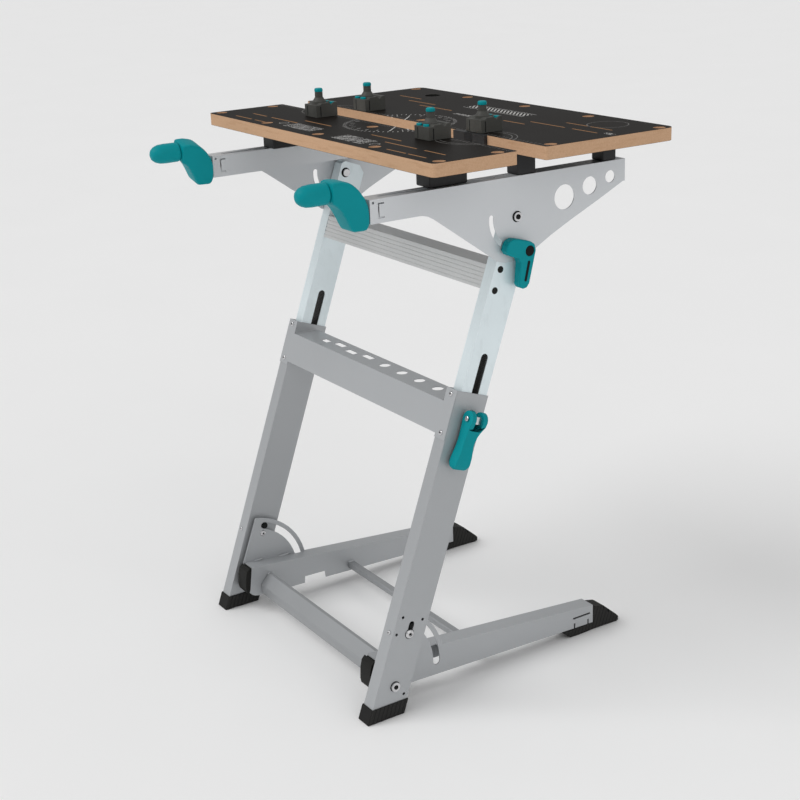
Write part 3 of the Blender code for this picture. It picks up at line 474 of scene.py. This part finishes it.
def screw(name, body, slot_name, centre, axis, radius, height):
    """A bright button head with a dark hexagon prism of painted shade in its key socket."""
    head = button_head(radius, height)
    placed(head, centre, axis)
    show(head, name, body, FINISHES["bolt"], slot_name)
    # painted shade: a dark hexagon prism set into the socket recess of the head
    key = bmesh.new()
    bmesh.ops.create_cone(key, cap_ends=True, segments=6, radius1=radius * 0.30, radius2=radius * 0.30,
                          depth=height * 0.25)
    placed(key, Vector(centre) + Vector(axis).normalized() * height * 0.50, axis)
    show(key, name + "_key", body, FINISHES["shadow"], slot_name)


def make_finishes():
    """Fill FINISHES with every material of the bench, under the names that SHOWN uses."""
    # The one silver powder coat is set lighter or darker part by part: these are lit and shaded copies of one
    # material, a painted highlight on the table beams, painted shade on the front and rear cross members, and
    # slighter painted shade on the legs, rails and shelf crossbar.
    silver = (0.47, 0.485, 0.50)
    FINISHES["leg_coat"] = powder_coat("leg_coat", shade(silver, 0.90))
    FINISHES["lit_beam_coat"] = powder_coat("lit_beam_coat", shade(silver, 1.36))
    FINISHES["rail_coat"] = powder_coat("rail_coat", shade(silver, 0.95))
    FINISHES["shaded_member_coat"] = powder_coat("shaded_member_coat", shade(silver, 0.72))
    FINISHES["shelf_coat"] = powder_coat("shelf_coat", shade(silver, 0.98))
    FINISHES["zinc"] = zinc_plate("zinc_leg", (0.80, 0.89, 0.92), (1.0, 0.12, 0.05), 0.30)
    FINISHES["aluminium"] = zinc_plate("aluminium_bar", (0.72, 0.73, 0.73), (0.03, 1.0, 1.0), 0.50)
    FINISHES["bolt"] = bright_screw("bright_bolt")
    FINISHES["spindle"] = threaded_rod("threaded_spindle")
    FINISHES["teal"] = moulded("teal_moulding", (0.000, 0.270, 0.305))
    FINISHES["black"] = moulded("black_moulding", (0.012, 0.012, 0.011), 1200.0, 0.50, 1.5)
    FINISHES["strip"] = toothed_strip("guide_strip", 0.0016)
    # Near-black finish for the black stop pin and the dark marks on the tilt levers, and painted shade in
    # screw and bolt sockets, dog grooves and the rings under bolt heads.
    FINISHES["shadow"] = moulded("black_pin_and_recess_shade", (0.008, 0.009, 0.009), 1200.0, 0.60, 1.5)
    FINISHES["foot"] = ribbed_rubber("foot_rubber", 0.0040)
    FINISHES["dog"] = dark_grain("dog_plastic", (0.060, 0.060, 0.054))
    FINISHES["block"] = dark_grain("block_plastic", (0.020, 0.020, 0.021))
    FINISHES["jaw_board"] = filmed_board("jaw_board", (
        (-0.288, -0.229, 0.121), (-0.217, -0.181, 0.121), (0.203, 0.255, 0.121), (0.261, 0.308, 0.121),
        (-0.287, -0.238, 0.155), (-0.220, -0.129, 0.155), (0.145, 0.233, 0.155), (0.253, 0.308, 0.155),
        (-0.142, -0.055, 0.1775), (0.070, 0.156, 0.1775)))
    FINISHES["plate_board"] = filmed_board("plate_board", (
        (-0.285, -0.214, 0.463), (-0.218, -0.132, 0.438), (-0.151, -0.052, 0.417), (0.105, 0.162, 0.411),
        (0.148, 0.236, 0.434), (0.254, 0.314, 0.434), (0.199, 0.252, 0.467), (0.259, 0.311, 0.467)))


# base name of the node -> (finish, edge width, bevel segments)
SHOWN = {
    "lower_leg": ("leg_coat", 0.0016, 3), "leg_foot_cap": ("foot", 0.0008, 2),
    "tool_crossbar": ("shelf_coat", 0.0004, 2), "height_tie_bolt": ("bolt", 0.0003, 1),
    "cam_pin": ("bolt", 0.0003, 1), "cam_lever": ("teal", 0.0016, 3),
    "fold_pivot_bolt": ("bolt", 0.0005, 2), "fold_stop_pin": ("shadow", 0.0004, 1),
    "base_rail": ("rail_coat", 0.0006, 2), "rail_end_plug": ("black", 0.0012, 2),
    "rear_foot": ("foot", 0.0009, 2), "front_cross_member": ("shaded_member_coat", 0.0008, 2),
    "rear_cross_tube": ("shaded_member_coat", 0.0005, 2), "upper_leg": ("zinc", 0.0012, 3),
    "slot_liner": ("strip", 0.0003, 1), "upper_crossbar": ("aluminium", 0.0003, 2),
    "tilt_pivot_bolt": ("bolt", 0.0005, 2), "tilt_lock_stud": ("bolt", 0.0004, 1),
    "tilt_lever": ("teal", 0.0014, 3),
    "table_beam": ("lit_beam_coat", 0.0006, 2), "front_jaw": ("jaw_board", 0.0004, 2),
    "back_plate": ("plate_board", 0.0004, 2), "vee_insert": ("block", 0.0006, 2),
    "plate_block_mid": ("block", 0.0010, 2), "plate_block_rear": ("block", 0.0010, 2),
    "jaw_carriage": ("block", 0.0009, 2), "spindle": ("spindle", 0.0003, 1), "crank": ("teal", 0.0010, 3),
    "crank_grip": ("teal", 0.0005, 2), "dog_body": ("dog", 0.0009, 2), "dog_cap": ("teal", 0.0006, 2),
}


def base_name(node):
    """The node's name without its side or number."""
    head, _, tail = node.rpartition("_")
    return head if tail in ("L", "R", "1", "2", "3", "4") else node


def dress_solids():
    """Show every solid with rounded edges and its own finish."""
    for node in sorted(NODES):
        finish, width, segments = SHOWN[base_name(node)]
        eased(node, FINISHES[finish], width, segments)


# ---- small hardware ---------------------------------------------------------
def side_name(side):
    """Letter of a side: -1 is L, 1 is R."""
    return "R" if side > 0 else "L"


def bolt_socket(name, body, slot_name, place, side, radius, rise, floor):
    """Dark cup of painted shade in the round socket of a pivot bolt's head, with a rim that stands above its
    floor.
    """
    socket = turned([(0.0, 0.0), (radius, 0.0), (radius, rise), (radius - 0.0012, rise),
                     (radius - 0.0016, floor), (0.0, floor)], 28)
    placed(socket, place, (side, 0.0, 0.0))
    show(socket, name, body, FINISHES["shadow"], slot_name)


def leg_hardware(side):
    """Screws, rivets and painted shade in the bolt sockets on one leg."""
    name = side_name(side)
    out = (side, 0.0, 0.0)
    front = (0.0, -COS_L, SIN_L)
    pivot = "fold_pivot_bolt_" + name
    screw("guide_screw_" + name, "frame", pivot, leg_point(side * (LEG_OUT + 0.0002), *GUIDE_SCREW), out,
          0.0078, 0.0032)
    screw("flange_screw_" + name, "frame", pivot, leg_point(side * 0.2575, 0.1565, -0.0002), front,
          0.0036, 0.0022)
    for i, s in enumerate((0.5560, 0.4920)):
        screw("shelf_screw_%d_%s" % (i, name), "frame", pivot, leg_point(side * 0.2555, s, -0.0018), front,
              0.0044, 0.0022)
    for i, s in enumerate((0.7630, 0.7290)):
        rivet = turned([(0.0, 0.0), (0.0055, 0.0), (0.0055, 0.0004), (0.0048, 0.0011), (0.0, 0.0013)], 32)
        placed(rivet, leg_point(side * 0.2657, s, 0.0210), out)
        show(rivet, "crossbar_rivet_%d_%s" % (i, name), "uprights", FINISHES["black"], "slot_liner_" + name)
    # painted shade in the sockets of the tilt and fold pivot bolts
    bolt_socket("tilt_bolt_socket_" + name, "uprights", "tilt_pivot_bolt_" + name,
                leg_point(side * (BEAM_OUT + 0.0037), *TILT_BOLT), side, 0.0040, 0.0008, 0.0003)
    bolt_socket("fold_bolt_socket_" + name, "frame", pivot,
                leg_point(side * (LEG_OUT + 0.0038), *FOLD_BOLT), side, 0.0038, 0.0006, 0.0002)


def dark_rings(side):
    """Rings of painted shadow under the pivot bolts' heads, rivet heads of the clamp lever and the plate's
    screw.
    """
    name = side_name(side)
    # thin dark rings of painted shadow under the heads of the pivot bolts and the guide screw
    shadow_ring = [(0.0, 0.0), (1.0, 0.0), (1.0, 0.03), (0.97, 0.04), (0.0, 0.04)]
    for part, body, x, spot, radius, facing, slot_name in (
            ("tilt_inner_ring_", "uprights", 0.2430, TILT_BOLT, 0.0088, -1, "tilt_pivot_bolt_"),
            ("tilt_outer_ring_", "table", BEAM_OUT, TILT_BOLT, 0.0088, 1, "table_beam_"),
            ("fold_outer_ring_", "frame", LEG_OUT, FOLD_BOLT, 0.0090, 1, "fold_pivot_bolt_"),
            ("guide_ring_", "frame", LEG_OUT, GUIDE_SCREW, 0.0086, 1, "fold_pivot_bolt_")):
        ring = turned([(r * radius, h * radius) for r, h in shadow_ring], 36)
        placed(ring, leg_point(side * x, *spot), (side * facing, 0.0, 0.0))
        show(ring, part + name, body, FINISHES["shadow"], slot_name + name)
    for k, (d, way) in enumerate(((0.0187, -1.0), (0.0533, 1.0))):
        head = turned([(0.0, 0.0), (0.0042, 0.0), (0.0042, 0.0007), (0.0034, 0.0012), (0.0016, 0.0012),
                       (0.0014, 0.0007), (0.0, 0.0007)], 28)
        placed(head, leg_point(side * CLAMP_X, CLAMP_S, d), (0.0, way * COS_L, -way * SIN_L))
        show(head, "clamp_rivet_%d_%s" % (k, name), "frame", FINISHES["bolt"], "cam_pin_" + name)
    screw("plate_screw_" + name, "base", "base_rail_" + name, leg_point(side * 0.2322, 0.1585, 0.0325),
          (-side, 0.0, 0.0), 0.0058, 0.0026)


def hole_sleeve():
    """Black sleeve in the large round hole of the back plate."""
    ring = [(0.0149, -0.0200), (0.0149, 0.0002), (0.0140, 0.0002), (0.0140, -0.0200), (0.0149, -0.0200)]
    sleeve = turned(ring, 48)
    placed(sleeve, bench_point(-0.240, 0.505, TOP_Z), (0.0, 0.0, 1.0))
    show(sleeve, "hole_sleeve", "table", FINISHES["black"], "back_plate")


def lever_details(side):
    """Dark plug and sight line let into the outer face of the tilt lever."""
    name = side_name(side)
    plug = turned([(0.0, 0.0), (0.0082, 0.0), (0.0082, 0.0022), (0.0070, 0.0028), (0.0, 0.0028)], 36)
    placed(plug, leg_point(side * 0.2846, 0.8025, 0.0512), (side, 0.0, 0.0))
    show(plug, "lever_plug_" + name, "tilt_" + name, FINISHES["shadow"], "tilt_lever_" + name)
    bar = bmesh.new()
    bmesh.ops.create_cube(bar, size=1.0)
    bmesh.ops.scale(bar, vec=(0.0010, 0.0042, 0.0330), verts=bar.verts[:])
    upright = [e for e in bar.edges if abs(e.verts[0].co.x - e.verts[1].co.x) > 0.0005]
    bmesh.ops.bevel(bar, geom=upright, offset=0.0020, offset_type="OFFSET", segments=5, profile=0.5,
                    affect="EDGES", clamp_overlap=True, material=-1)
    tilt = Matrix.Rotation(math.radians(-14.0), 4, "X")
    bmesh.ops.transform(bar, matrix=Matrix.Translation(bench_point(side * 0.2877, 0.3172, 0.7060)) @ tilt,
                        verts=bar.verts[:])
    bmesh.ops.recalc_face_normals(bar, faces=bar.faces[:])
    show(bar, "lever_line_" + name, "tilt_" + name, FINISHES["shadow"], "tilt_lever_" + name)


def upright_at(bm, place, body, name, finish, slot_name):
    """Stand a small turned piece on the table and show it."""
    placed(bm, place, (0.0, 0.0, 1.0))
    show(bm, name, body, FINISHES[finish], slot_name)


def dog_groove(index, k, centre, size):
    """Dark box of painted shade for an upright groove in a dog's body."""
    groove = bmesh.new()
    bmesh.ops.create_cube(groove, size=1.0)
    bmesh.ops.scale(groove, vec=size, verts=groove.verts[:])
    bmesh.ops.translate(groove, vec=centre, verts=groove.verts[:])
    show(groove, "dog_groove_%d_%d" % (index, k), "dog_%d" % index, FINISHES["shadow"], "dog_body_%d" % index)


def dog_details():
    """Tapered collar, painted shade in two grooves and two teal release buttons on each bench dog."""
    spots = ((-DOG_X, JAW_ROW, -1.0), (-DOG_X, PLATE_ROW, 1.0),
             (DOG_X, JAW_ROW, 1.0), (DOG_X, PLATE_ROW, -1.0))
    for index, (x, y, face) in enumerate(spots, 1):
        dog = "dog_%d" % index
        collar = turned([(0.0, 0.0), (0.0112, 0.0), (0.0106, 0.0012), (0.0084, 0.0048), (0.0072, 0.0066),
                         (0.0, 0.0066)], 36)
        upright_at(collar, bench_point(x, y, TOP_Z + 0.0254), dog, "dog_collar_%d" % index, "dog",
                   "dog_body_%d" % index)
        # painted shade: thin dark boxes standing for the upright grooves of the dog
        dog_groove(index, 0, bench_point(x - 0.0105, y - 0.0172, TOP_Z + 0.0102), (0.0016, 0.0009, 0.0165))
        dog_groove(index, 1, bench_point(x + 0.0199, y - 0.0090, TOP_Z + 0.0102), (0.0009, 0.0014, 0.0165))
        depth = -0.0128 if face > 0 else 0.0180
        for k, across in enumerate((-0.0125, 0.0060)):
            button = turned([(0.0, 0.0), (0.0048, 0.0), (0.0052, 0.0010), (0.0052, 0.0034), (0.0046, 0.0042),
                             (0.0, 0.0045)], 28)
            bmesh.ops.scale(button, vec=(1.15, 0.80, 1.0), verts=button.verts[:])
            upright_at(button, bench_point(x + across * face, y + depth, TOP_Z + 0.0198), dog,
                       "dog_button_%d_%d" % (index, k), "teal", "dog_cap_%d" % index)


WELDS = (                              # (x, y, z) and half sizes of the beads of one side
    ((0.2305, 0.1270, 0.0835), (0.0030, 0.0135, 0.0022)),
    ((0.2305, 0.0720, 0.0885), (0.0028, 0.0100, 0.0020)),
    ((0.2018, 0.0800, 0.0690), (0.0026, 0.0060, 0.0026)),
    ((0.2018, 0.2570, 0.0425), (0.0022, 0.0075, 0.0022)),
)


def weld_beads(side):
    """Beads where the fold plate meets the rail and the cross members meet the rails."""
    name = side_name(side)
    for k, ((x, y, z), half) in enumerate(WELDS):
        bead = bmesh.new()
        bmesh.ops.create_uvsphere(bead, u_segments=20, v_segments=12, radius=1.0)
        bmesh.ops.scale(bead, vec=half, verts=bead.verts[:])
        bmesh.ops.translate(bead, vec=bench_point(side * x, y, z), verts=bead.verts[:])
        show(bead, "weld_bead_%d_%s" % (k, name), "base", FINISHES["rail_coat"], "base_rail_" + name,
             math.radians(80.0), False)


# ---- stage ------------------------------------------------------------------
FLOOR_HALF = 60.0
WORLD_STRENGTH = 0.50
CAMERA_PLACE = (2.06884, -1.05425, 1.27671)
CAMERA_YAW = math.radians(57.657)
CAMERA_PITCH = math.radians(19.090)
CAMERA_ROLL = math.radians(-2.223)
LENS = 66.587
SENSOR = 36.0


def soft_light(name, from_place, strength, spread):
    """Broad studio light that reaches the floor and the bench evenly."""
    lamp = bpy.data.lights.new(name, "SUN")
    lamp.energy = strength
    lamp.angle = math.radians(spread)
    obj = bpy.data.objects.new(name, lamp)
    obj.rotation_euler = (Vector(from_place) * -1.0).to_track_quat("-Z", "Y").to_euler()
    bpy.context.scene.collection.objects.link(obj)


def make_stage():
    """White floor, white surroundings and two broad lights."""
    f = Finish("studio_floor")
    cloud = f.noise(2.2, 4.0)
    grain = f.noise(240.0, 2.0)
    f.set(Base_Color=f.blend((0.93, 0.93, 0.93), (0.96, 0.96, 0.96), cloud), Roughness=0.55 + 0.10 * grain,
          Normal=f.relief(grain, 0.0001, 0.2))
    bm = bmesh.new()
    bmesh.ops.create_grid(bm, x_segments=8, y_segments=8, size=FLOOR_HALF)
    mesh = bpy.data.meshes.new("floor")
    bm.to_mesh(mesh)
    bm.free()
    mesh.materials.append(f.material)
    floor = bpy.data.objects.new("floor", mesh)
    bpy.context.scene.collection.objects.link(floor)
    world = bpy.data.worlds.new("studio")
    world.use_nodes = True
    sky = world.node_tree.nodes["Background"]
    sky.inputs["Color"].default_value = (1.0, 1.0, 1.0, 1.0)
    sky.inputs["Strength"].default_value = WORLD_STRENGTH
    bpy.context.scene.world = world
    soft_light("key", (-0.9, -2.4, 2.7), 1.30, 40.0)
    soft_light("fill", (2.6, 0.2, 1.5), 0.46, 60.0)
    bpy.context.scene.view_settings.view_transform = "Standard"
    bpy.context.scene.view_settings.look = "None"


def make_camera():
    """Camera at the front right of the bench, looking down on it."""
    flat = math.cos(CAMERA_PITCH)
    ahead = Vector((-math.sin(CAMERA_YAW) * flat, math.cos(CAMERA_YAW) * flat, -math.sin(CAMERA_PITCH)))
    right = Vector((math.cos(CAMERA_YAW), math.sin(CAMERA_YAW), 0.0))
    up = right.cross(ahead)
    across = math.cos(CAMERA_ROLL) * right + math.sin(CAMERA_ROLL) * up
    upward = -math.sin(CAMERA_ROLL) * right + math.cos(CAMERA_ROLL) * up
    lens = bpy.data.cameras.new("camera")
    lens.lens = LENS
    lens.sensor_width = SENSOR
    camera = bpy.data.objects.new("camera", lens)
    turn = Matrix((across, upward, -ahead)).transposed().to_4x4()
    camera.matrix_world = Matrix.Translation(bench_point(*CAMERA_PLACE)) @ turn
    bpy.context.scene.collection.objects.link(camera)
    bpy.context.scene.camera = camera


make_finishes()
dress_solids()
for side in (-1, 1):
    leg_hardware(side)
    lever_details(side)
    dark_rings(side)
    weld_beads(side)
dog_details()
hole_sleeve()
make_stage()
make_camera()
